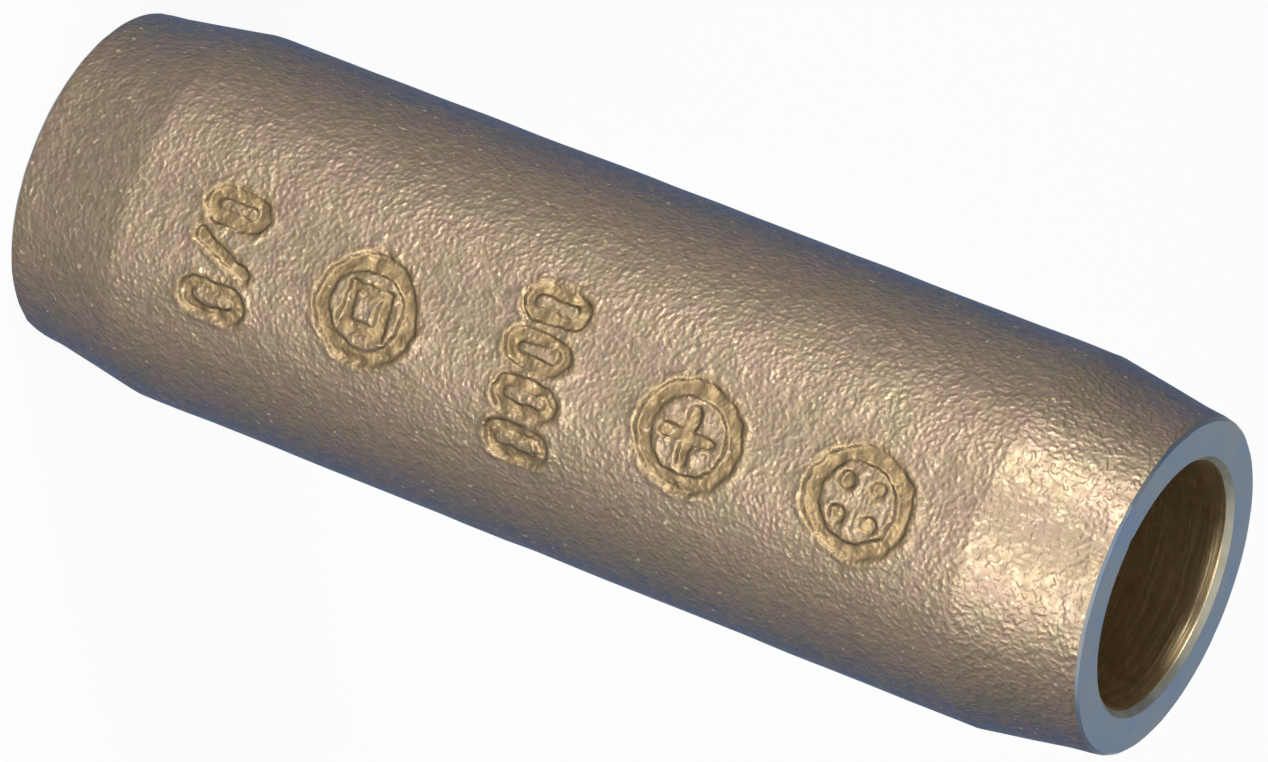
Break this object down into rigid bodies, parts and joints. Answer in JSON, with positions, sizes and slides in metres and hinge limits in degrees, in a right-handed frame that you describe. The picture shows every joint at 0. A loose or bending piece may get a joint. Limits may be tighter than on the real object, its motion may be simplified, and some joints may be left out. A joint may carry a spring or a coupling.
{
  "type": "ground rod compression connector",
  "caption": "Cast bronze sleeve with short end tapers and a machined bore that narrows to a throat at mid length, driven over plain ground rod ends to join them.",
  "frame": {"origin": "centre of the lower end face, on the bore axis", "axes": "+Z along the bore axis, from the lower end face to the upper one; X and Y are alike"},
  "size_m": [0.0222, 0.0222, 0.07],
  "materials": {
    "cast_bronze": "as-cast golden brown bronze outside, machined end faces and bore"
  },
  "bodies": {
    "root": {"connector_sleeve": "cast_bronze"}
  },
  "joints": []
}
